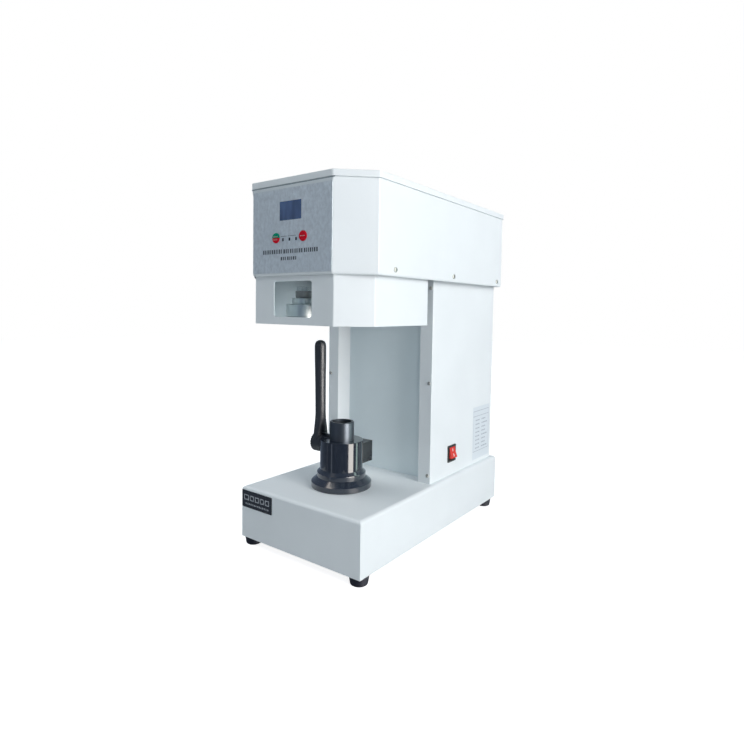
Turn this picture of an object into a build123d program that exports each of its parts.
"""Desktop can sealing machine: base, column, seaming head and lever-raised can seat.

Millimetres, +Z up.  The origin is under the middle of the machine, on the surface
that its rubber feet stand on.  -Y is the operator's side, +X is the power switch's side.
"""
from build123d import *
import math
import os

# ---- driving dimensions -------------------------------------------------------
SHEET = 1.5             # painted steel sheet
FOLD_R = 3.0            # outer radius of its upright folds
FOOT_H = 13.0           # rubber feet under the base

BASE_HALF_W = 125.0     # base housing
BASE_FRONT = -217.0
BASE_REAR = 235.0
BASE_H = 84.5
BASE_BEND = 5.5         # radius of the bent top edges

COL_HALF_W = 115.4      # column housing
COL_FRONT = -12.35
COL_REAR = 226.8
STRIP_INNER = 91.4      # inner edge of the two front strips
RECESS = 23.35          # how far the front panel is set back
RECESS_HALF_W = 81.5    # half width of the recess at the panel; its sides slant

HEAD_HALF_W = 129.25    # head cover
HEAD_NOSE_HALF = 81.4   # half width of the flat front face
HEAD_FRONT = -232.85
HEAD_CHAMFER_END = -188.6
HEAD_REAR = 231.9
HEAD_Z0 = 441.2
LID_GROW = 2.15         # the lid stands this proud of the head cover
LID_SKIRT = 9.4
TOP_Z = 586.65

SHROUD_HALF_W = 120.65  # lower shroud round the rollers
SHROUD_NOSE_HALF = 80.45
SHROUD_FRONT = -228.6
SHROUD_CHAMFER_END = -184.2
SHROUD_REAR = -38.2
SHROUD_Z0 = 369.4

PLATE_Z0 = 446.3        # head plate that carries the whole seaming head
PLATE_T = 12.0

AXIS_Y = -109.5         # spindle and can seat share this vertical axis
MOTOR_Y = 115.0

LEVER_Z = 164.0         # height of the lever's shaft
LEVER_X = -47.5         # plane that the lever arm swings in
LEVER_TOP = 340.5
LEVER_LEAN = 1.0        # the arm leans this many degrees forward at rest

ROLLER_X = 55.0         # seaming roller centres at rest, left and right
ROLLER_Y = -149.0
PIVOT_X = 85.0          # roller arm pivots, left and right
PIVOT_Y = -60.0
SECTOR_TILT = 18.0      # direction from an arm's pivot to the swing pinion
PINION_TEETH = 20
SECTOR_TEETH = 100      # teeth of the full circle that each sector is cut from

LIFT_MODULE = 1.0       # rack and pinion that raise the can seat
LIFT_TEETH = 16

# ---- derived places -----------------------------------------------------------
BASE_TOP = FOOT_H + BASE_H
PLATE_Z1 = PLATE_Z0 + PLATE_T
PANEL_Y = COL_FRONT + RECESS
LIFT_R = LIFT_MODULE * LIFT_TEETH / 2
PINION_Y = PIVOT_Y + PIVOT_X * math.tan(math.radians(SECTOR_TILT))
SWING_MODULE = 2 * PIVOT_X / math.cos(math.radians(SECTOR_TILT)) / (PINION_TEETH + SECTOR_TEETH)

ON_FLOOR = (Align.CENTER, Align.CENTER, Align.MIN)


# ---- helpers ------------------------------------------------------------------
def save(shape, node):
    """Write one sub-part under its node's name."""
    shape.label = node
    export_step(shape, f"parts/{node}.step")


def box(x, y, z):
    """A block from three (low, high) pairs."""
    centre = Pos((x[0] + x[1]) / 2, (y[0] + y[1]) / 2, (z[0] + z[1]) / 2)
    return centre * Box(x[1] - x[0], y[1] - y[0], z[1] - z[0])


def rod(x, y, z0, z1, r):
    """An upright cylinder."""
    return Pos(x, y, z0) * Cylinder(r, z1 - z0, align=ON_FLOOR)


def rod_x(x0, x1, y, z, r):
    """A cylinder along X."""
    return Pos(x0, y, z) * Rot(0, 90, 0) * Cylinder(r, x1 - x0, align=ON_FLOOR)


def rod_y(x, y0, y1, z, r):
    """A cylinder along Y."""
    return Pos(x, y0, z) * Rot(-90, 0, 0) * Cylinder(r, y1 - y0, align=ON_FLOOR)


def slab(sketch, z0, z1):
    """A flat sketch raised from z0 to z1."""
    return Pos(0, 0, z0) * extrude(sketch, amount=z1 - z0)


def turned(points, x=0.0, y=0.0):
    """A solid of revolution about the upright axis at x, y, from (r, z) points."""
    outline = Polyline([(r, 0, z) for r, z in points], close=True)
    return Pos(x, y, 0) * revolve(make_face(outline), Axis.Z)


def group(solids):
    """Identical pieces that share one node."""
    return Compound(children=list(solids))


def nose_outline(half_w, nose_half, front, chamfer_end, rear):
    """Plan of the head and shroud: a rectangle with its two front corners cut and its folds rounded."""
    right = [(nose_half, front), (half_w, chamfer_end), (half_w, rear)]
    left = [(-x, y) for x, y in reversed(right)]
    plan = make_face(Polyline(right + left, close=True))
    return fillet(plan.vertices(), FOLD_R)


def grown(sketch, amount):
    """The same plan, moved outwards all round."""
    return offset(sketch, amount=amount, kind=Kind.ARC)


def corners(x, y):
    """The four points of a rectangle centred on x = 0: (+-x, each y)."""
    return [(sx * x, yy) for yy in y for sx in (-1, 1)]


def gear_outline(module, teeth, first, count, root_gap=1.2, fullness=0.40):
    """Teeth of a gear as a sketch, count of them, the first one centred on angle first."""
    pitch_r = module * teeth / 2
    tip_r = pitch_r + 0.85 * module
    root_r = pitch_r - root_gap * module
    step = 2 * math.pi / teeth
    points = []
    for tooth in range(count):
        centre = math.radians(first) + tooth * step
        root_half = step * fullness * 0.78
        tip_half = step * fullness * 0.36
        for r, a in ((root_r, -root_half), (tip_r, -tip_half), (tip_r, tip_half), (root_r, root_half)):
            points.append((r * math.cos(centre + a), r * math.sin(centre + a)))
    return points


# ---- base ---------------------------------------------------------------------
FOOT_SIDE_INSET = 13.0
FOOT_FRONT_INSET = 15.0
FOOT_REAR_INSET = 27.0
FOOT_SCREW_R = 2.5
SEAT_BOLT_RING = 44.0
SEAT_BOLT_R = 3.0
MOUNT_PLATE_T = 6.0


def foot_places():
    x = BASE_HALF_W - FOOT_SIDE_INSET
    return corners(x, (BASE_FRONT + FOOT_FRONT_INSET, BASE_REAR - FOOT_REAR_INSET))


def seat_bolt_places():
    reach = SEAT_BOLT_RING / math.sqrt(2)
    return corners(reach, (AXIS_Y - reach, AXIS_Y + reach))


def wiring_hole():
    """Passage for the wiring from the base into the column."""
    return box((-60, 60), (60, 170), (BASE_TOP - 20, BASE_TOP + 5))


def base_shell():
    outer = box((-BASE_HALF_W, BASE_HALF_W), (BASE_FRONT, BASE_REAR), (FOOT_H, BASE_TOP))
    outer = fillet(outer.faces().sort_by(Axis.Z)[-1].edges(), BASE_BEND)
    inner = box(
        (-BASE_HALF_W + SHEET, BASE_HALF_W - SHEET),
        (BASE_FRONT + SHEET, BASE_REAR - SHEET),
        (FOOT_H, BASE_TOP - SHEET),
    )
    inner = fillet(inner.faces().sort_by(Axis.Z)[-1].edges(), BASE_BEND - SHEET)
    shell = outer - inner - wiring_hole()
    for x, y in seat_bolt_places():
        shell -= rod(x, y, BASE_TOP - 10, BASE_TOP + 1, SEAT_BOLT_R)
    return shell


def base_bottom_plate():
    plate = box(
        (-BASE_HALF_W + SHEET, BASE_HALF_W - SHEET),
        (BASE_FRONT + SHEET, BASE_REAR - SHEET),
        (FOOT_H, FOOT_H + SHEET),
    )
    for x, y in foot_places():
        plate -= rod(x, y, 0, FOOT_H + 10, FOOT_SCREW_R)
    return plate


def rubber_foot(x, y):
    foot = turned([(FOOT_SCREW_R, 6), (FOOT_SCREW_R, FOOT_H), (14.4, FOOT_H), (15, FOOT_H - 0.6), (13.2, 2),
                   (12.6, 0.8), (11.4, 0), (5, 0), (5, 6)], x, y)
    return foot


def foot_screw(x, y):
    head = rod(x, y, 3.2, 6, 4.6)
    shank = rod(x, y, 6, 20, FOOT_SCREW_R)
    nut = rod(x, y, FOOT_H + SHEET, 18.5, 4.4)
    return head + shank + nut


def base_mount_plate():
    """Steel plate under the base's top, which the can seat and the column bolt to."""
    plate = box((-112, 112), (-170, 205), (BASE_TOP - SHEET - MOUNT_PLATE_T, BASE_TOP - SHEET))
    plate -= wiring_hole()
    for x, y in seat_bolt_places():
        plate -= rod(x, y, BASE_TOP - 20, BASE_TOP, SEAT_BOLT_R)
    return plate


def name_badge():
    badge = box((-124.2, -53.8), (BASE_FRONT - 0.8, BASE_FRONT), (64, 92))
    return fillet(badge.edges().filter_by(Axis.Y), 1.0)


def power_supply():
    """Enclosed supply on the base's floor, with a slotted lid."""
    floor = FOOT_H + SHEET
    case = box((-95, -5), (-60, 120), (floor, floor + 38))
    case = fillet(case.edges().filter_by(Axis.Z), 1.5)
    for row in range(9):
        y = -40 + row * 15
        case -= box((-80, -20), (y, y + 4), (floor + 36, floor + 39))
    return case


# ---- column -------------------------------------------------------------------
STRIP_SCREW_Z = (111.3, 270.0, 431.0)
STRIP_SCREW_X = 110.0
SWITCH_Y = 61.5
SWITCH_Z = 136.5
SWITCH_OPEN_Y = 11.5
SWITCH_OPEN_Z = 12.6
INLET_Z = 140.0
UPRIGHT_Y = (80.0, 212.0)


def mirrored(shape):
    """The same piece on the other side of the machine."""
    return mirror(shape, Plane.YZ)


def column_shell():
    z = (BASE_TOP, PLATE_Z0)
    side = box((COL_HALF_W - SHEET, COL_HALF_W), (COL_FRONT, COL_REAR), z)
    strip = box((STRIP_INNER, COL_HALF_W), (COL_FRONT, COL_FRONT + SHEET), z)
    back_y = PANEL_Y + SHEET
    fold = make_face(Polyline([(STRIP_INNER, COL_FRONT), (RECESS_HALF_W, PANEL_Y), (RECESS_HALF_W, back_y),
                               (RECESS_HALF_W + SHEET, back_y), (STRIP_INNER + SHEET, COL_FRONT + SHEET)], close=True))
    half = side + strip + slab(fold, z[0], z[1])
    half = fillet(half.edges().filter_by(Axis.Z).sort_by_distance((COL_HALF_W, COL_FRONT, 270))[0], 1.2)
    back = box((-COL_HALF_W, COL_HALF_W), (COL_REAR - SHEET, COL_REAR), z)
    shell = half + mirrored(half) + back
    shell -= box((COL_HALF_W - 5, COL_HALF_W + 1), (SWITCH_Y - SWITCH_OPEN_Y, SWITCH_Y + SWITCH_OPEN_Y),
                 (SWITCH_Z - SWITCH_OPEN_Z, SWITCH_Z + SWITCH_OPEN_Z))
    shell -= box((-14.5, 14.5), (COL_REAR - 5, COL_REAR + 1), (INLET_Z - 10.5, INLET_Z + 10.5))
    for row in range(8):
        z0 = 250 + row * 11
        slot = box((-45, 45), (COL_REAR - 5, COL_REAR + 1), (z0, z0 + 4))
        shell -= fillet(slot.edges().filter_by(Axis.Y), 1.9)
    for z0 in STRIP_SCREW_Z:
        for x in (-STRIP_SCREW_X, STRIP_SCREW_X):
            shell -= rod_y(x, COL_FRONT - 1, COL_FRONT + SHEET, z0, 1.5)
    return shell


def column_front_panel():
    return box((-RECESS_HALF_W, RECESS_HALF_W), (PANEL_Y, PANEL_Y + SHEET), (BASE_TOP, PLATE_Z0))


def frame_upright():
    """Folded steel channel that carries the head plate, open towards the middle."""
    z = (BASE_TOP, PLATE_Z0)
    web = box((106, 109), UPRIGHT_Y, z)
    front = box((84, 109), (UPRIGHT_Y[0], UPRIGHT_Y[0] + 3), z)
    rear = box((84, 109), (UPRIGHT_Y[1] - 3, UPRIGHT_Y[1]), z)
    return web + front + rear


def switch_bezel():
    """Snap-in frame of the rocker switch, with its body behind the sheet."""
    y = (SWITCH_Y - 14, SWITCH_Y + 14)
    z = (SWITCH_Z - 15, SWITCH_Z + 15)
    flange = box((COL_HALF_W, COL_HALF_W + 2), y, z)
    flange = fillet(flange.edges().filter_by(Axis.X), 1.2)
    body = box((COL_HALF_W - 20, COL_HALF_W), (SWITCH_Y - SWITCH_OPEN_Y, SWITCH_Y + SWITCH_OPEN_Y),
               (SWITCH_Z - SWITCH_OPEN_Z, SWITCH_Z + SWITCH_OPEN_Z))
    cavity = box((COL_HALF_W - 14, COL_HALF_W + 3), (SWITCH_Y - 10.3, SWITCH_Y + 10.3),
                 (SWITCH_Z - 11.7, SWITCH_Z + 11.7))
    return flange + body - cavity


ROCKER_X = COL_HALF_W - 3.0     # the rocker's pivot
ROCKER_TILT = 15.0              # its face leans this much each way


def switch_rocker():
    """Rocker with two dished faces, leaning so that its lower half stands proud."""
    face = 8.2
    reach = 9.8
    profile = Polyline(
        [(face - 1.0, 0), (face, reach), (face - 4, reach), (-4, 4), (-4, -4), (face - 4, -reach), (face, -reach)],
        close=True,
    )
    plan = make_face(Plane.XZ * profile)
    rocker = Pos(0, 9.8, 0) * extrude(plan, amount=19.6)
    return Pos(ROCKER_X, SWITCH_Y, SWITCH_Z) * Rot(0, -ROCKER_TILT, 0) * rocker


def power_inlet():
    """Three-pin appliance inlet in the column's back."""
    flange = box((-25, 25), (COL_REAR, COL_REAR + 2.5), (INLET_Z - 13, INLET_Z + 13))
    flange = fillet(flange.edges().filter_by(Axis.Y), 4)
    body = box((-14.5, 14.5), (COL_REAR - 22, COL_REAR), (INLET_Z - 10.5, INLET_Z + 10.5))
    cavity = box((-12.2, 12.2), (COL_REAR - 16, COL_REAR + 3), (INLET_Z - 8.2, INLET_Z + 8.2))
    top_edges = cavity.edges().filter_by(Axis.Y).group_by(Axis.Z)[-1]
    cavity = chamfer(top_edges, 4.5)
    inlet = flange + body - cavity
    pins = [box((x - 2, x + 2), (COL_REAR - 16, COL_REAR - 6), (z - 1, z + 1))
            for x, z in ((-7, INLET_Z - 2), (7, INLET_Z - 2), (0, INLET_Z + 2))]
    screws = [rod_y(x, COL_REAR + 2.5, COL_REAR + 4, INLET_Z, 3) for x in (-20, 20)]
    for piece in pins + screws:
        inlet += piece
    return inlet


# ---- head covers --------------------------------------------------------------
COVER_SCREW_Z = 452.3
COVER_SCREW_Y = (-147.7, 30.4, 208.5)
WINDOW_Z = (381.0, 434.6)
WINDOW_HALF_W = 39.2
PANEL_Z = (446.8, 571.0)
PANEL_HALF_W = 81.0
PANEL_T = 0.8
LCD_X = (-22.7, 22.1)
LCD_Z = (524.0, 552.0)
KEY_Z = 499.0
START_X = -29.8
STOP_X = 25.9
KEY_R = 7.6
KEY_GAP = 0.25
LAMP_X = (-15.0, -1.5, 12.0)
LAMP_Z = 495.8
LID_SCREW_X = 67.0
LID_SCREW_SET = 8.5         # behind the head's front face
LID_SCREW_DEPTH = 0.8


def head_plan():
    return nose_outline(HEAD_HALF_W, HEAD_NOSE_HALF, HEAD_FRONT, HEAD_CHAMFER_END, HEAD_REAR)


def panel_cuts():
    """Everything that passes through the front of the head: display, keys and lamps."""
    depth = (HEAD_FRONT - 3, HEAD_FRONT + SHEET)
    cuts = [box(LCD_X, depth, LCD_Z)]
    cuts += [rod_y(x, depth[0], depth[1], KEY_Z, KEY_R + KEY_GAP) for x in (START_X, STOP_X)]
    cuts += [box((x - 1.5, x + 1.5), depth, (LAMP_Z - 2.3, LAMP_Z + 2.3)) for x in LAMP_X]
    return cuts


def head_cover():
    plan = head_plan()
    outer = slab(plan, HEAD_Z0, TOP_Z - SHEET)
    rear_low = outer.edges().filter_by(Axis.X).group_by(Axis.Y)[-1].sort_by(Axis.Z)[0]
    outer = fillet(rear_low, 5)
    cover = outer - slab(grown(plan, -SHEET), HEAD_Z0 - 1, TOP_Z)
    for cut in panel_cuts():
        cover -= cut
    for y in COVER_SCREW_Y:
        cover -= rod_x(-HEAD_HALF_W - 1, HEAD_HALF_W + 1, y, COVER_SCREW_Z, 2)
    return cover


def head_lid():
    plan = head_plan()
    lid = slab(grown(plan, LID_GROW), TOP_Z - LID_SKIRT, TOP_Z)
    lid = fillet(lid.faces().sort_by(Axis.Z)[-1].edges(), 1.0)
    lid -= slab(grown(plan, LID_GROW - SHEET), TOP_Z - LID_SKIRT - 1, TOP_Z - SHEET)
    for x in (-LID_SCREW_X, LID_SCREW_X):
        lid -= rod(x, HEAD_FRONT + LID_SCREW_SET, TOP_Z - LID_SCREW_DEPTH, TOP_Z + 1, 1.5)
    return lid


def head_plate():
    """Thick plate that the motor, the spindle and the roller arms hang on."""
    plate = slab(grown(head_plan(), -SHEET), PLATE_Z0, PLATE_Z1)
    z = (PLATE_Z0 - 1, PLATE_Z1 + 1)
    plate -= rod(0, AXIS_Y, z[0], z[1], HOUSING_R)
    plate -= rod(0, MOTOR_Y, z[0], z[1], 25)
    for side in (-1, 1):
        plate -= rod(side * PIVOT_X, PIVOT_Y, z[0], z[1], BUSH_R)
    for bolt in head_bolts():
        plate -= bolt
    for y in COVER_SCREW_Y:
        for side in (-1, 1):
            inner = side * (HEAD_HALF_W - SHEET - 8)
            outer = side * HEAD_HALF_W
            plate -= rod_x(min(inner, outer), max(inner, outer), y, COVER_SCREW_Z, 2)
    return plate


def lower_shroud():
    plan = nose_outline(SHROUD_HALF_W, SHROUD_NOSE_HALF, SHROUD_FRONT, SHROUD_CHAMFER_END, SHROUD_REAR)
    shroud = slab(plan, SHROUD_Z0, PLATE_Z0) - slab(grown(plan, -SHEET), SHROUD_Z0 + SHEET, PLATE_Z0 + 1)
    shroud -= slab(grown(plan, -12), SHROUD_Z0 - 1, SHROUD_Z0 + SHEET)
    window = box((-WINDOW_HALF_W, WINDOW_HALF_W), (SHROUD_FRONT - 2, SHROUD_FRONT + 3), WINDOW_Z)
    return shroud - fillet(window.edges().filter_by(Axis.Y), 4)


def pan_head_x(side, x, y, z, r, length):
    """Pan-head screw driven into a side face; side is +1 on the right and -1 on the left."""
    head = rod_x(0, 1.8, 0, 0, 2 * r)
    head = fillet(head.faces().sort_by(Axis.X)[-1].edges(), 0.9)
    screw = head + rod_x(-length, 0, 0, 0, r) - box((1, 3), (-0.5, 0.5), (-3, 3)) - box((1, 3), (-3, 3), (-0.5, 0.5))
    if side < 0:
        screw = Rot(0, 0, 180) * screw
    return Pos(x, y, z) * screw


def pan_head_y(x, y, z, r, length):
    """The same screw driven into a front face."""
    return Pos(x, y, z) * Rot(0, 0, -90) * pan_head_x(1, 0, 0, 0, r, length)


def cover_screws():
    """All the pan-head screws of the housing."""
    screws = []
    for y in COVER_SCREW_Y:
        screws.append(pan_head_x(1, HEAD_HALF_W, y, COVER_SCREW_Z, 2, 8))
        screws.append(pan_head_x(-1, -HEAD_HALF_W, y, COVER_SCREW_Z, 2, 8))
    for z in STRIP_SCREW_Z:
        for x in (-STRIP_SCREW_X, STRIP_SCREW_X):
            screws.append(pan_head_y(x, COL_FRONT, z, 1.5, SHEET))
    for x in (-LID_SCREW_X, LID_SCREW_X):
        screw = pan_head_x(1, 0, 0, 0, 1.5, LID_SCREW_DEPTH)
        screws.append(Pos(x, HEAD_FRONT + LID_SCREW_SET, TOP_Z) * Rot(0, -90, 0) * screw)
    return group(screws)


def control_panel():
    """Thin metal plate on the front of the head."""
    plate = box((-PANEL_HALF_W, PANEL_HALF_W), (HEAD_FRONT - PANEL_T, HEAD_FRONT), PANEL_Z)
    plate = fillet(plate.edges().filter_by(Axis.Y), 1.0)
    for cut in panel_cuts():
        plate -= cut
    return plate


def display_window():
    return box(LCD_X, (HEAD_FRONT - PANEL_T + 0.2, HEAD_FRONT + SHEET), LCD_Z)


def display_module():
    """Glass and frame of the display, between the window and the control board."""
    x = (LCD_X[0] - 4, LCD_X[1] + 4)
    z = (LCD_Z[0] - 5, LCD_Z[1] + 5)
    return box(x, (HEAD_FRONT + SHEET, BOARD_Y[0]), z)


BOARD_Y = (-222.6, -221.0)


def control_board():
    """Circuit board behind the panel, with its chips and the switches under the keys."""
    board = box((-70, 70), BOARD_Y, (480, 564))
    board += box((-60, -35), (BOARD_Y[1], BOARD_Y[1] + 4), (505, 530))
    board += box((20, 60), (BOARD_Y[1], BOARD_Y[1] + 9), (485, 500))
    for x in (START_X, STOP_X):
        board += box((x - 6, x + 6), (BOARD_Y[0] - 1.5, BOARD_Y[0]), (KEY_Z - 6, KEY_Z + 6))
    return board


def indicator_lamps():
    y = (HEAD_FRONT - PANEL_T - 0.3, BOARD_Y[0])
    return group([box((x - 1.5, x + 1.5), y, (LAMP_Z - 2.3, LAMP_Z + 2.3)) for x in LAMP_X])


KEY_FRONT = HEAD_FRONT - LID_GROW
KEY_BACK = -226.0


def round_key(x):
    """Push key with a domed face."""
    key = rod_y(x, KEY_FRONT, KEY_BACK, KEY_Z, KEY_R)
    key = fillet(key.faces().sort_by(Axis.Y)[0].edges(), 0.9)
    return key + rod_y(x, HEAD_FRONT + SHEET + 0.3, HEAD_FRONT + SHEET + 1.5, KEY_Z, KEY_R + 1.2)


def half_key(upper):
    """One of the two half-round keys that share the left opening."""
    z = (KEY_Z + 0.2, KEY_Z + 20) if upper else (KEY_Z - 20, KEY_Z - 0.2)
    return round_key(START_X) & box((START_X - 20, START_X + 20), (-240, -220), z)


# ---- can seat and its lift ----------------------------------------------------
SEAT_R = 36.0
SEAT_BODY_Z = (BASE_TOP + 30.2, BASE_TOP + 78.1)
TUBE_R = 20.5
TUBE_BORE_R = 16.5
TUBE_TOP = BASE_TOP + 108.7
TUBE_BOTTOM = TUBE_TOP - 80
SOCKET_DEPTH = 20.0
TUBE_WEB = 8.0
SHAFT_R = 6.0
BOSS_R = 16.0
RUN_GAP = 0.05
LIFT_TRAVEL = LIFT_R * math.pi / 2
GUIDE_PIN_Z = 153.0
GUIDE_PIN_R = 3.0
GUIDE_PIN_REACH = 18.9      # the pin's tip, from the seat's axis


def seat_flange():
    z = BASE_TOP
    flange = turned([(24, z), (49.8, z), (50.6, z + 0.8), (50.6, z + 9.2), (49.8, z + 10), (42, z + 16.5),
                     (41, z + 17.2), (41, z + 24.3), (40.6, z + 25.1), (39.8, z + 25.5), (SEAT_R, z + 30.2),
                     (24, z + 30.2)], 0, AXIS_Y)
    for x, y in seat_bolt_places():
        flange -= rod(x, y, z - 1, z + 9, SEAT_BOLT_R)
    return flange


def seat_bolts():
    """Socket-head screws from under the base's mounting plate into the flange."""
    under = BASE_TOP - SHEET - MOUNT_PLATE_T
    bolts = []
    for x, y in seat_bolt_places():
        bolt = rod(x, y, under - 6, under, 5) + rod(x, y, under, BASE_TOP + 9, SEAT_BOLT_R)
        bolts.append(bolt - rod(x, y, under - 7, under - 3, 2.5))
    return group(bolts)


def guide_pin(y0, y1):
    return rod_y(0, AXIS_Y + y0, AXIS_Y + y1, GUIDE_PIN_Z, GUIDE_PIN_R)


def seat_body():
    """Bored body that guides the lift tube, with a boss on its left for the lever's shaft."""
    z = SEAT_BODY_Z
    body = rod(0, AXIS_Y, z[0], z[1], SEAT_R)
    body = fillet(body.faces().sort_by(Axis.Z)[-1].edges(), 0.8)
    body += rod_x(-36.2, -10, AXIS_Y, LEVER_Z, BOSS_R)
    body -= rod(0, AXIS_Y, z[0] - 1, LEVER_Z + 30, TUBE_R + RUN_GAP)
    body -= rod_x(-40, 29, AXIS_Y, LEVER_Z, SHAFT_R + RUN_GAP)
    return body - guide_pin(0, SEAT_R + 1)


def rear_guide_block():
    """Block clamped on the back of the body; its pin keeps the tube from turning."""
    block = box((-33, 33), (-95, -67), (137, 171))
    block = fillet(block.edges().filter_by(Axis.Z), 1.2)
    block -= rod(0, AXIS_Y, 120, 180, SEAT_R)
    block -= rod_x(-36.2, -10, AXIS_Y, LEVER_Z, BOSS_R)
    for x in (-20, 20):
        block -= rod_y(x, -70, -66, GUIDE_PIN_Z, 4)
    return block + guide_pin(GUIDE_PIN_REACH, SEAT_R + 2)


def lift_tube():
    """Sliding tube: socket for the can tray on top, chamber for the rack below."""
    socket_floor = TUBE_TOP - SOCKET_DEPTH
    tube = rod(0, AXIS_Y, TUBE_BOTTOM, TUBE_TOP, TUBE_R)
    tube = chamfer(tube.faces().sort_by(Axis.Z)[-1].edges(), 1.0)
    tube -= rod(0, AXIS_Y, socket_floor, TUBE_TOP + 1, TUBE_BORE_R)
    tube -= rod(0, AXIS_Y, TUBE_BOTTOM - 1, socket_floor - TUBE_WEB, TUBE_BORE_R)
    clear = SHAFT_R + 0.4
    shaft_slot = (LEVER_Z - clear - LIFT_TRAVEL - 1, LEVER_Z + clear + 1)
    tube -= box((-TUBE_R - 1, TUBE_R + 1), (AXIS_Y - clear, AXIS_Y + clear), shaft_slot)
    pin_half = GUIDE_PIN_R + 0.3
    pin_slot = (GUIDE_PIN_Z - pin_half - LIFT_TRAVEL - 1, GUIDE_PIN_Z + pin_half + 1)
    return tube - box((-pin_half, pin_half), (AXIS_Y + GUIDE_PIN_REACH - 0.4, AXIS_Y + TUBE_R + 1), pin_slot)


def lift_rack():
    """Toothed bar fixed up the inside of the tube's back wall."""
    pitch = math.pi * LIFT_MODULE
    pitch_y = AXIS_Y + LIFT_R
    z = (LEVER_Z - LIFT_TRAVEL - 2.5 * pitch, TUBE_TOP - SOCKET_DEPTH - TUBE_WEB)
    bar = box((-5, 5), (pitch_y + 1.2 * LIFT_MODULE, AXIS_Y + TUBE_BORE_R), z)
    count = int((z[1] - z[0]) / pitch) - 1
    lowest = math.ceil((z[0] - LEVER_Z) / pitch)
    for tooth in range(count):
        centre = LEVER_Z + (lowest + tooth + 0.5) * pitch
        flank = Polyline([(pitch_y + 1.25, centre - 1.05), (pitch_y - 0.8, centre - 0.42),
                          (pitch_y - 0.8, centre + 0.42), (pitch_y + 1.25, centre + 1.05)], close=True)
        bar += extrude(make_face(Plane.YZ * flank), amount=5, both=True)
    return bar & rod(0, AXIS_Y, z[0] - 1, z[1] + 1, TUBE_BORE_R)


def lift_pinion():
    """Pinion on the lever's shaft; one tooth points at the rack at rest."""
    outline = make_face(Polyline(gear_outline(LIFT_MODULE, LIFT_TEETH, 0, LIFT_TEETH), close=True))
    pinion = extrude(Plane.YZ * outline, amount=6, both=True)
    pinion = Pos(0, AXIS_Y, LEVER_Z) * pinion
    return pinion - rod_x(-8, 8, AXIS_Y, LEVER_Z, SHAFT_R - 1.2)


def lever_shaft():
    """Cross shaft, turned down where the pinion sits."""
    shaft = rod_x(HUB_BORE_X, -6, AXIS_Y, LEVER_Z, SHAFT_R) + rod_x(6, 28.5, AXIS_Y, LEVER_Z, SHAFT_R)
    return shaft + rod_x(-6, 6, AXIS_Y, LEVER_Z, SHAFT_R - 1.2)


HUB_X = (-57.0, -36.5)
HUB_RIM_X = -52.0           # the ribbed rim runs from the hub's outer end to here
HUB_BORE_X = -55.0          # end of the shaft's blind bore
HUB_R = 16.5


def lever_hub():
    """Hub with a ribbed outer rim and a socket for the arm."""
    hub = rod_x(HUB_RIM_X, HUB_X[1], AXIS_Y, LEVER_Z, HUB_R)
    hub = fillet(hub.faces().sort_by(Axis.X)[-1].edges(), 0.8)
    rim = Circle(HUB_R) - PolarLocations(HUB_R + 0.5, 24) * Circle(1.3)
    hub += Pos(HUB_X[0], AXIS_Y, LEVER_Z) * Rot(0, 90, 0) * extrude(rim, amount=HUB_RIM_X - HUB_X[0])
    return hub - rod_x(HUB_BORE_X, HUB_X[1] + 1, AXIS_Y, LEVER_Z, SHAFT_R)


def ellipse_at(z, half_x, half_y):
    return Pos(LEVER_X, AXIS_Y, z) * Ellipse(half_x, half_y)


def lever_arm():
    """Handle with a rounded end; its foot flares out to the hub's width."""
    neck = LEVER_Z + 54
    flare = loft([ellipse_at(LEVER_Z, 9.3, 15.8), ellipse_at(LEVER_Z + 20, 9.3, 14.2),
                  ellipse_at(LEVER_Z + 36, 9.1, 11), ellipse_at(neck, 9, 9)])
    profile = [(9, neck), (9.1, neck + 30), (9.4, neck + 65), (9.8, neck + 95), (9.8, LEVER_TOP - 13),
               (9.2, LEVER_TOP - 6.5), (7, LEVER_TOP - 2.4), (3.6, LEVER_TOP - 0.5), (0, LEVER_TOP)]
    side = Spline([(r, 0, z) for r, z in profile], tangents=[(0, 0, 1), (-1, 0, 0)])
    foot = Line((0, 0, neck), (9, 0, neck))
    centre = Line((0, 0, LEVER_TOP), (0, 0, neck))
    grip = revolve(make_face([foot, side, centre]), Axis.Z)
    arm = flare + Pos(LEVER_X, AXIS_Y, 0) * grip
    arm = arm.rotate(Axis((0, AXIS_Y, LEVER_Z), (1, 0, 0)), LEVER_LEAN)
    return arm - rod_x(-70, -30, AXIS_Y, LEVER_Z, HUB_R)


# ---- spindle and drive --------------------------------------------------------
HOUSING_R = 28.0
BEARING_R = 17.5
BEARING_W = 11.0
BEARING_Z = (427.0, 482.0)
SPINDLE_R = 10.0
PULLEY_Z = (500.0, 520.0)
SPINDLE_PULLEY_R = 46.0
MOTOR_PULLEY_R = 30.0
BELT_T = 3.0
BELT_GAP = 0.1
CHUCK_Z = 377.0
HOUSING_BOLT_RING = 34.0
MOTOR_BOLT = 46.0
MOTOR_R = 55.0


def head_bolt(x, y, under_head, tip):
    """Socket-head cap screw, head up."""
    bolt = rod(x, y, under_head, under_head + 6, 5) + rod(x, y, tip, under_head, 3)
    return bolt - rod(x, y, under_head + 3, under_head + 7, 2.5)


def head_bolts():
    """The cap screws of the spindle housing and of the motor."""
    reach = HOUSING_BOLT_RING / math.sqrt(2)
    bolts = [head_bolt(x, y, PLATE_Z1 + 8, PLATE_Z0 + 1) for x, y in
             corners(reach, (AXIS_Y - reach, AXIS_Y + reach))]
    bolts += [head_bolt(x, y, PLATE_Z1, PLATE_Z0 - 6) for x, y in
              corners(MOTOR_BOLT, (MOTOR_Y - MOTOR_BOLT, MOTOR_Y + MOTOR_BOLT))]
    return bolts


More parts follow.
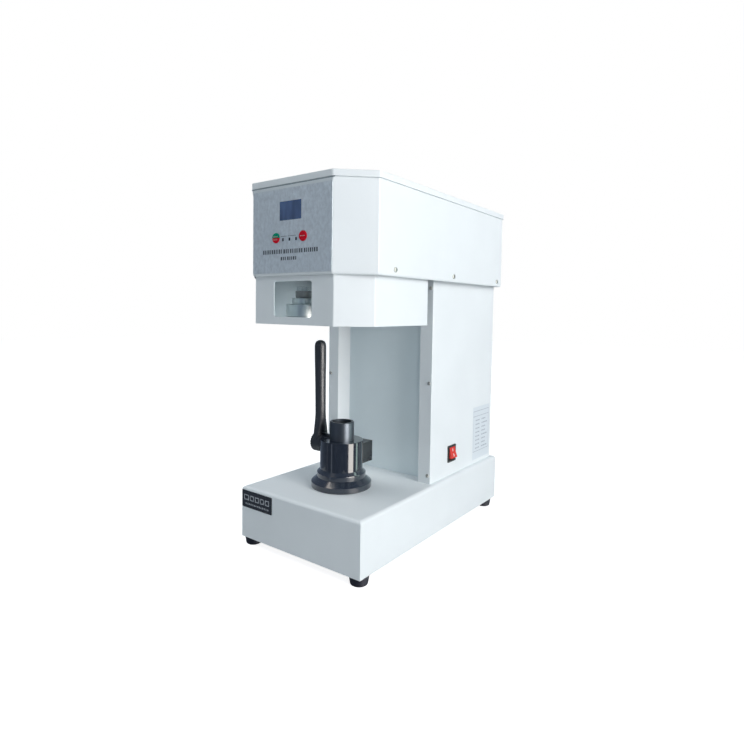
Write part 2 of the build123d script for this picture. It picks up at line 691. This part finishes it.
def spindle_housing():
    """Flanged sleeve through the head plate, bored for a bearing at each end."""
    low = BEARING_Z[0] - 2
    high = BEARING_Z[1] + BEARING_W + 2
    housing = rod(0, AXIS_Y, low, high, HOUSING_R) + rod(0, AXIS_Y, PLATE_Z1, PLATE_Z1 + 8, 42)
    housing -= rod(0, AXIS_Y, low - 1, high + 1, 14)
    housing -= rod(0, AXIS_Y, low - 1, BEARING_Z[0] + BEARING_W, BEARING_R)
    housing -= rod(0, AXIS_Y, BEARING_Z[1], high + 1, BEARING_R)
    for bolt in head_bolts():
        housing -= bolt
    return housing


def spindle_bearings():
    """Two ball bearings, shown as their rings with the shield between them."""
    rings = []
    for z in BEARING_Z:
        ring = rod(0, AXIS_Y, z, z + BEARING_W, BEARING_R) - rod(0, AXIS_Y, z - 1, z + 12, SPINDLE_R + 0.03)
        for face in (z - 0.1, z + BEARING_W - 0.5):
            ring -= rod(0, AXIS_Y, face, face + 0.6, 15.5) - rod(0, AXIS_Y, face - 1, face + 2, 12.5)
        rings.append(ring)
    return group(rings)


def spindle_shaft():
    shaft = rod(0, AXIS_Y, CHUCK_Z + 4, 400, 8) + rod(0, AXIS_Y, 400, 424.5, 12.5)
    return shaft + rod(0, AXIS_Y, 424.5, PULLEY_Z[1] + 4, SPINDLE_R)


def chuck():
    """Seaming chuck: the lower step seats in the lid's countersink."""
    chuck_body = turned([(0, CHUCK_Z), (23.2, CHUCK_Z), (24.6, CHUCK_Z + 6), (31, CHUCK_Z + 7), (31, CHUCK_Z + 14),
                         (29, CHUCK_Z + 16), (18, CHUCK_Z + 16), (18, 400), (8, 400), (8, CHUCK_Z + 4),
                         (0, CHUCK_Z + 4)], 0, AXIS_Y)
    for turn in range(3):
        a = 2 * math.pi * turn / 3
        chuck_body -= rod(14 * math.cos(a), AXIS_Y + 14 * math.sin(a), CHUCK_Z - 1, CHUCK_Z + 3, 2.2)
    return chuck_body


def pulley(y, r, shaft_r):
    """Flanged belt pulley with a web and a hub."""
    z0, z1 = PULLEY_Z
    wheel = rod(0, y, z0, z1, r) + rod(0, y, z0, z0 + 2, r + 4) + rod(0, y, z1 - 2, z1, r + 4)
    if r > 40:
        ring = rod(0, y, z1 - 7, z1 + 1, r - 5) - rod(0, y, z1 - 8, z1 + 2, 18)
        wheel -= ring
    return wheel - rod(0, y, z0 - 1, z1 + 1, shaft_r)


def motor_shaft():
    return rod(0, MOTOR_Y, 420.3, PULLEY_Z[1] + 3, 9)


def motor_body():
    """Upright motor hanging under the head plate, with cooling ribs and a square flange."""
    flange = box((-MOTOR_R, MOTOR_R), (MOTOR_Y - MOTOR_R, MOTOR_Y + MOTOR_R), (PLATE_Z0 - 6, PLATE_Z0))
    flange = fillet(flange.edges().filter_by(Axis.Z), 8)
    body = flange + rod(0, MOTOR_Y, 255, PLATE_Z0 - 6, MOTOR_R - 5)
    for rib in range(20):
        turn = Pos(0, MOTOR_Y, 0) * Rot(0, 0, rib * 18)
        body += turn * box((MOTOR_R - 8, MOTOR_R - 1), (-1.2, 1.2), (270, 425))
    body += rod(0, MOTOR_Y, 240, 255, MOTOR_R - 2)
    for x, y in corners(MOTOR_BOLT, (MOTOR_Y - MOTOR_BOLT, MOTOR_Y + MOTOR_BOLT)):
        body -= rod(x, y, PLATE_Z0 - 7, PLATE_Z0 + 1, 3)
    return body - rod(0, MOTOR_Y, 420, PLATE_Z0 + 1, 9.05)


def belt_loop(extra):
    """Outline of the belt at some distance outside both pulleys."""
    front = Pos(0, AXIS_Y) * CenterArc((0, 0), SPINDLE_PULLEY_R + extra, 0, 360)
    rear = Pos(0, MOTOR_Y) * CenterArc((0, 0), MOTOR_PULLEY_R + extra, 0, 360)
    return make_hull([front, rear])


def drive_belt():
    z = (PULLEY_Z[0] + 2.3, PULLEY_Z[1] - 2.3)
    return slab(belt_loop(BELT_GAP + BELT_T), z[0], z[1]) - slab(belt_loop(BELT_GAP), z[0] - 1, z[1] + 1)


# ---- roller arms --------------------------------------------------------------
BUSH_R = 13.0
PIVOT_R = 9.0
PIN_R = 6.0
ROLLER_Z = (377.0, 401.0)
ROLLER_R = 27.0
COLLAR_R = 17.4
COLLAR_TOP = 410.7
ARM_Z = (411.0, 423.0)
SECTOR_Z = (462.3, 470.3)
SECTOR_HALF = 12.6


def pivot_bushes():
    bushes = []
    for side in (-1, 1):
        x = side * PIVOT_X
        bush = rod(x, PIVOT_Y, PLATE_Z0, PLATE_Z1, BUSH_R) + rod(x, PIVOT_Y, PLATE_Z1, PLATE_Z1 + 2, BUSH_R + 3)
        bushes.append(bush - rod(x, PIVOT_Y, PLATE_Z0 - 1, PLATE_Z1 + 3, PIVOT_R + 0.04))
    return group(bushes)


def pivot_shaft(side):
    x = side * PIVOT_X
    shaft = rod(x, PIVOT_Y, ARM_Z[0] - 4, SECTOR_Z[1] + 4, PIVOT_R)
    return shaft + rod(x, PIVOT_Y, ARM_Z[0] - 4, ARM_Z[0], PIVOT_R + 3)


def roller_arm(side):
    """Forged link from the pivot shaft to the roller's pin."""
    pivot = Pos(side * PIVOT_X, PIVOT_Y) * CenterArc((0, 0), 14, 0, 360)
    end = Pos(side * ROLLER_X, ROLLER_Y) * CenterArc((0, 0), 12, 0, 360)
    arm = slab(make_hull([pivot, end]), ARM_Z[0], ARM_Z[1])
    arm = fillet(arm.edges().filter_by(Plane.XY), 1.0)
    arm -= rod(side * PIVOT_X, PIVOT_Y, ARM_Z[0] - 1, ARM_Z[1] + 1, PIVOT_R)
    return arm - rod(side * ROLLER_X, ROLLER_Y, ARM_Z[0] - 1, ARM_Z[1] + 1, PIN_R)


def roller_pin(side):
    x = side * ROLLER_X
    pin = rod(x, ROLLER_Y, ROLLER_Z[0] - 0.3, ARM_Z[1], PIN_R)
    pin += rod(x, ROLLER_Y, ROLLER_Z[0] - 3.3, ROLLER_Z[0] - 0.3, 9)
    nut = extrude(Pos(x, ROLLER_Y) * RegularPolygon(10, 6), amount=7)
    return pin + Pos(0, 0, ARM_Z[1]) * nut


def seaming_roller(side):
    """Hardened roller with a seaming groove and a collar."""
    x = side * ROLLER_X
    z0, z1 = ROLLER_Z
    groove = z0 + 1.2
    profile = [(PIN_R + RUN_GAP, z0), (ROLLER_R - 0.6, z0), (ROLLER_R, z0 + 0.6), (ROLLER_R, groove),
               (ROLLER_R - 1.4, groove + 0.9), (ROLLER_R - 1.4, groove + 1.8), (ROLLER_R, groove + 2.7),
               (ROLLER_R, z1 - 1), (ROLLER_R - 1, z1), (COLLAR_R, z1), (COLLAR_R, COLLAR_TOP),
               (PIN_R + RUN_GAP, COLLAR_TOP)]
    return turned(profile, x, ROLLER_Y)


def sector_gear(side):
    """Toothed sector on top of a pivot shaft; a tooth lies on the line to the pinion."""
    towards = SECTOR_TILT if side < 0 else 180 - SECTOR_TILT
    step = 360 / SECTOR_TEETH
    each_way = int(SECTOR_HALF / step)
    teeth = gear_outline(SWING_MODULE, SECTOR_TEETH, towards - each_way * step, 2 * each_way + 1)
    hub_edge = [(16 * math.cos(math.radians(a)), 16 * math.sin(math.radians(a))) for a in (towards + 75, towards - 75)]
    wedge = make_face(Polyline(teeth + hub_edge, close=True))
    sector = slab(wedge, SECTOR_Z[0], SECTOR_Z[1]) + rod(0, 0, SECTOR_Z[0], SECTOR_Z[1], 18)
    sector -= rod(0, 0, SECTOR_Z[0] - 1, SECTOR_Z[1] + 1, PIVOT_R)
    return Pos(side * PIVOT_X, PIVOT_Y, 0) * sector


def swing_pinion():
    """Pinion between the two sectors, on the gear motor's shaft."""
    half_step = 180 / PINION_TEETH
    first = 180 + SECTOR_TILT + half_step
    outline = make_face(Polyline(gear_outline(SWING_MODULE, PINION_TEETH, first, PINION_TEETH), close=True))
    pinion = slab(outline, SECTOR_Z[0], SECTOR_Z[1])
    shaft = rod(0, 0, SECTOR_Z[0], GEAR_MOTOR_Z + 6, 3)
    return Pos(0, PINION_Y, 0) * (pinion + shaft)


GEAR_MOTOR_Z = 479.0
HOUSING_FLANGE = 8.0
# x, y and foot height of each leg: two stand on the head plate, one on the housing's flange
BRACKET_LEGS = ((-20.0, 6.0, PLATE_Z1), (20.0, 6.0, PLATE_Z1), (0.0, -73.0, PLATE_Z1 + HOUSING_FLANGE))


def gear_motor_bracket():
    """Three-legged bracket that holds the gear motor above the sectors."""
    top = (GEAR_MOTOR_Z - 3, GEAR_MOTOR_Z)
    legs = [Pos(x, y) * CenterArc((0, 0), 5, 0, 360) for x, y, foot in BRACKET_LEGS]
    bracket = slab(make_hull(legs), top[0], top[1])
    bracket += rod(0, PINION_Y, top[0], top[1], 22)
    for x, y, foot in BRACKET_LEGS:
        bracket += rod(x, y, foot, top[0], 4)
    return bracket - rod(0, PINION_Y, top[0] - 1, top[1] + 1, 6)


def gear_motor():
    """Small geared motor, shaft down."""
    motor = rod(0, PINION_Y, GEAR_MOTOR_Z, GEAR_MOTOR_Z + 26, 18.5)
    motor += rod(0, PINION_Y, GEAR_MOTOR_Z + 26, GEAR_MOTOR_Z + 58, 17)
    motor = fillet(motor.faces().sort_by(Axis.Z)[-1].edges(), 2)
    return motor - rod(0, PINION_Y, GEAR_MOTOR_Z - 1, GEAR_MOTOR_Z + 6.5, 3.05)


# ---- write every sub-part -----------------------------------------------------
def main():
    os.makedirs("parts", exist_ok=True)
    save(base_shell(), "base_shell")
    save(base_bottom_plate(), "base_bottom_plate")
    save(group([rubber_foot(x, y) for x, y in foot_places()]), "rubber_feet")
    save(group([foot_screw(x, y) for x, y in foot_places()]), "foot_screws")
    save(base_mount_plate(), "base_mount_plate")
    save(name_badge(), "name_badge")
    save(power_supply(), "power_supply")

    save(column_shell(), "column_shell")
    save(column_front_panel(), "column_front_panel")
    save(group([frame_upright(), mirrored(frame_upright())]), "frame_uprights")
    save(switch_bezel(), "switch_bezel")
    save(switch_rocker(), "switch_rocker")
    save(power_inlet(), "power_inlet")

    save(head_cover(), "head_cover")
    save(head_lid(), "head_lid")
    save(head_plate(), "head_plate")
    save(lower_shroud(), "lower_shroud")
    save(cover_screws(), "cover_screws")
    save(control_panel(), "control_panel")
    save(display_window(), "display_window")
    save(display_module(), "display_module")
    save(control_board(), "control_board")
    save(indicator_lamps(), "indicator_lamps")
    save(half_key(True), "start_key")
    save(half_key(False), "pause_key")
    save(round_key(STOP_X), "stop_key")

    save(seat_flange(), "seat_flange")
    save(seat_bolts(), "seat_bolts")
    save(seat_body(), "seat_body")
    save(rear_guide_block(), "rear_guide_block")
    save(lift_tube(), "lift_tube")
    save(lift_rack(), "lift_rack")
    save(lift_pinion(), "lift_pinion")
    save(lever_shaft(), "lever_shaft")
    save(lever_hub(), "lever_hub")
    save(lever_arm(), "lever_arm")

    save(group(head_bolts()), "head_bolts")
    save(spindle_housing(), "spindle_housing")
    save(spindle_bearings(), "spindle_bearings")
    save(spindle_shaft(), "spindle_shaft")
    save(chuck(), "chuck")
    save(pulley(AXIS_Y, SPINDLE_PULLEY_R, SPINDLE_R), "spindle_pulley")
    save(pulley(MOTOR_Y, MOTOR_PULLEY_R, 9), "motor_pulley")
    save(motor_shaft(), "motor_shaft")
    save(motor_body(), "motor_body")
    save(drive_belt(), "drive_belt")

    save(pivot_bushes(), "pivot_bushes")
    for side, name in ((-1, "left"), (1, "right")):
        save(pivot_shaft(side), f"pivot_shaft_{name}")
        save(roller_arm(side), f"roller_arm_{name}")
        save(roller_pin(side), f"roller_pin_{name}")
        save(seaming_roller(side), f"seaming_roller_{name}")
        save(sector_gear(side), f"sector_gear_{name}")
    save(swing_pinion(), "swing_pinion")
    save(gear_motor_bracket(), "gear_motor_bracket")
    save(gear_motor(), "gear_motor")


main()
